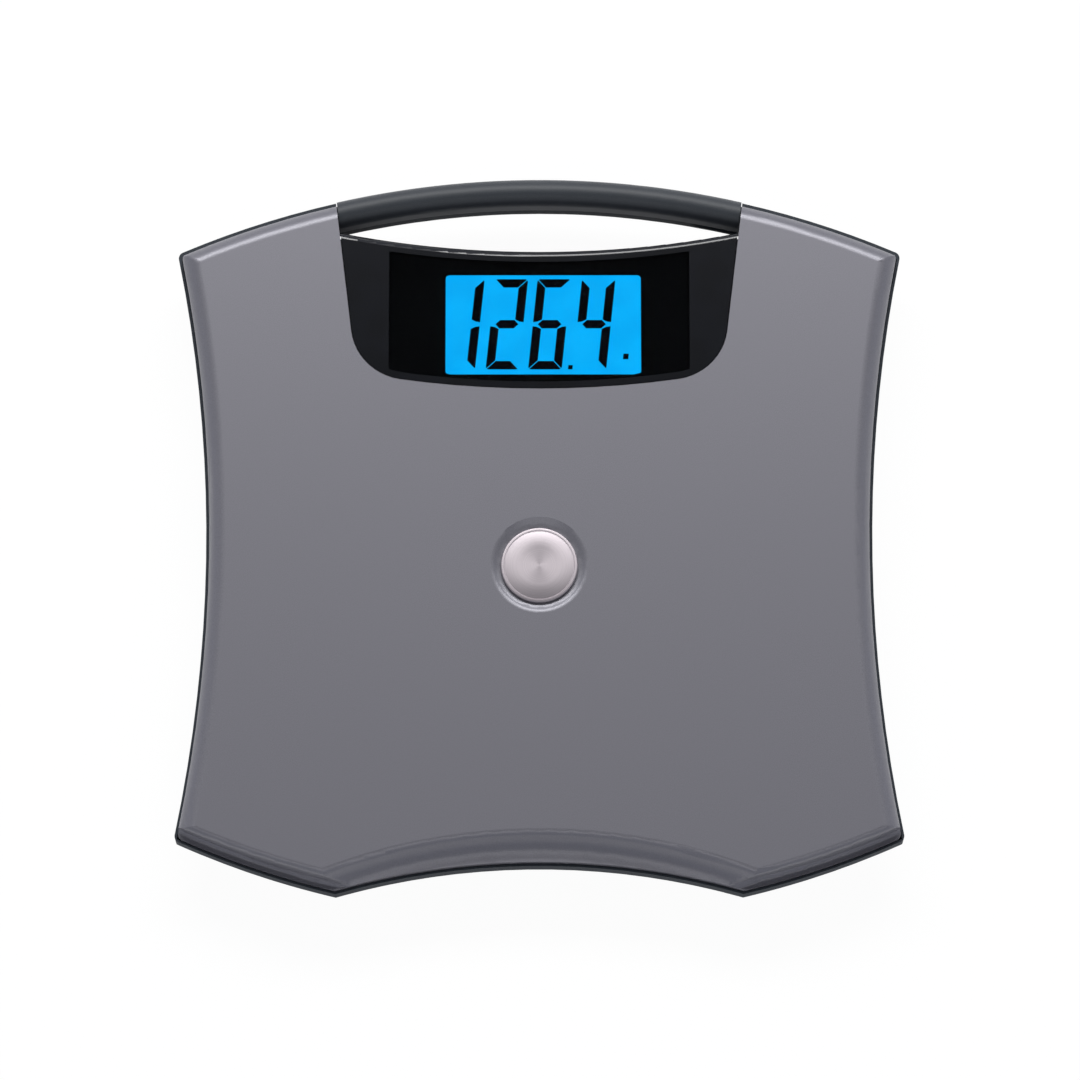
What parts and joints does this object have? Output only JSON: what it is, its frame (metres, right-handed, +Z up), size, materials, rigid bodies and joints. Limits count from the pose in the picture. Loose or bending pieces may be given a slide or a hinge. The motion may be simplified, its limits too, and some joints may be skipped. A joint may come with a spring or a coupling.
{
  "type": "electronic bathroom scale",
  "caption": "Low waisted bathroom scale: silver platform, gloss display bay with backlit LCD, rear carrying handle with a finger gap, sliding load-cell feet and a hinged battery door.",
  "frame": {"origin": "middle of the plan's bounding box, on the floor, level with the underside of the rubber pads", "axes": "+Z up, +Y from the scooped front edge to the carrying handle, +X to the right of a person who reads the display from the front edge"},
  "size_m": [0.3234, 0.3272, 0.042],
  "materials": {
    "silver_shell": "satin silver paint over moulded plastic",
    "slate_shell": "dark slate moulded plastic",
    "soft_grip": "soft-touch dark slate",
    "piano_black": "polished black",
    "smoked_window": "clear glossy window, smoked",
    "lcd_blue": "blue backlit liquid crystal glass",
    "satin_disc": "spun satin",
    "adhesive": "double-sided tape",
    "pad_rubber": "matt black rubber",
    "cell_steel": "stamped spring steel",
    "gauge_white": "white silicone coat",
    "moulded_grey": "moulded grey",
    "clear_guide": "clear acrylic",
    "white_sheet": "white diffusing sheet",
    "zebra_rubber": "layered conductive rubber",
    "board_green": "green solder mask",
    "chip_black": "moulded chip case",
    "cap_sleeve": "sleeved aluminium can",
    "socket_ivory": "ivory nylon",
    "battery_wrap": "printed steel can",
    "contact_metal": "nickel-plated contact",
    "screw_steel": "zinc-plated screw",
    "lead_sheath": "grey lead sheath"
  },
  "bodies": {
    "scale_body": {"platform": "silver_shell", "base_tray": "slate_shell", "handle_grip": "soft_grip", "display_housing": "piano_black", "display_lens": "smoked_window", "lcd_glass": "lcd_blue", "lcd_frame": "moulded_grey", "diffuser_sheet": "white_sheet", "light_guide": "clear_guide", "reflector_sheet": "white_sheet", "led_strip": "socket_ivory", "zebra_strips": "zebra_rubber", "main_board": "board_green", "board_chips": "chip_black", "board_capacitors": "cap_sleeve", "lead_sockets": "socket_ivory", "badge": "satin_disc", "badge_tape": "adhesive", "load_cell_fl": "cell_steel", "load_cell_fr": "cell_steel", "load_cell_rl": "cell_steel", "load_cell_rr": "cell_steel", "cell_bracket_fl": "moulded_grey", "cell_bracket_fr": "moulded_grey", "cell_bracket_rl": "moulded_grey", "cell_bracket_rr": "moulded_grey", "gauge_coats": "gauge_white", "battery_1": "battery_wrap", "battery_2": "battery_wrap", "battery_3": "battery_wrap", "battery_4": "battery_wrap", "battery_springs": "contact_metal", "battery_plates": "contact_metal", "tact_switch": "cell_steel", "switch_board": "board_green", "case_screws": "screw_steel", "bracket_screws": "screw_steel", "handle_screws": "screw_steel", "housing_screws": "screw_steel", "board_screws": "screw_steel", "switch_screws": "screw_steel", "cell_lead_fl": "lead_sheath", "cell_lead_fr": "lead_sheath", "cell_lead_rl": "lead_sheath", "cell_lead_rr": "lead_sheath", "battery_lead": "lead_sheath", "switch_lead": "lead_sheath"},
    "foot_fl_body": {"foot_fl": "moulded_grey", "pad_fl": "pad_rubber"},
    "foot_fr_body": {"foot_fr": "moulded_grey", "pad_fr": "pad_rubber"},
    "foot_rl_body": {"foot_rl": "moulded_grey", "pad_rl": "pad_rubber"},
    "foot_rr_body": {"foot_rr": "moulded_grey", "pad_rr": "pad_rubber"},
    "button_body": {"unit_button": "moulded_grey", "tact_plunger": "chip_black"},
    "door_body": {"battery_door": "slate_shell"}
  },
  "joints": [
    {"name": "foot_fl_slide", "type": "slide", "parent": "scale_body", "child": "foot_fl_body", "axis": [0, 0, 1], "range_m": [0, 0.0006], "stiffness_N_per_m": 1500, "springref_m": -0.002, "deforming": ["load_cell_fl"]},
    {"name": "foot_fr_slide", "type": "slide", "parent": "scale_body", "child": "foot_fr_body", "axis": [0, 0, 1], "range_m": [0, 0.0006], "stiffness_N_per_m": 1500, "springref_m": -0.002, "deforming": ["load_cell_fr"]},
    {"name": "foot_rl_slide", "type": "slide", "parent": "scale_body", "child": "foot_rl_body", "axis": [0, 0, 1], "range_m": [0, 0.0006], "stiffness_N_per_m": 1500, "springref_m": -0.002, "deforming": ["load_cell_rl"]},
    {"name": "foot_rr_slide", "type": "slide", "parent": "scale_body", "child": "foot_rr_body", "axis": [0, 0, 1], "range_m": [0, 0.0006], "stiffness_N_per_m": 1500, "springref_m": -0.002, "deforming": ["load_cell_rr"]},
    {"name": "units_button_slide", "type": "slide", "parent": "scale_body", "child": "button_body", "axis": [0, 0, 1], "range_m": [0, 0.0005], "stiffness_N_per_m": 1000, "springref_m": -0.0005},
    {"name": "battery_door_hinge", "type": "hinge", "parent": "scale_body", "child": "door_body", "pos_m": [0, -0.0385, 0.0092], "axis": [1, 0, 0], "range_deg": [0, 100]}
  ]
}
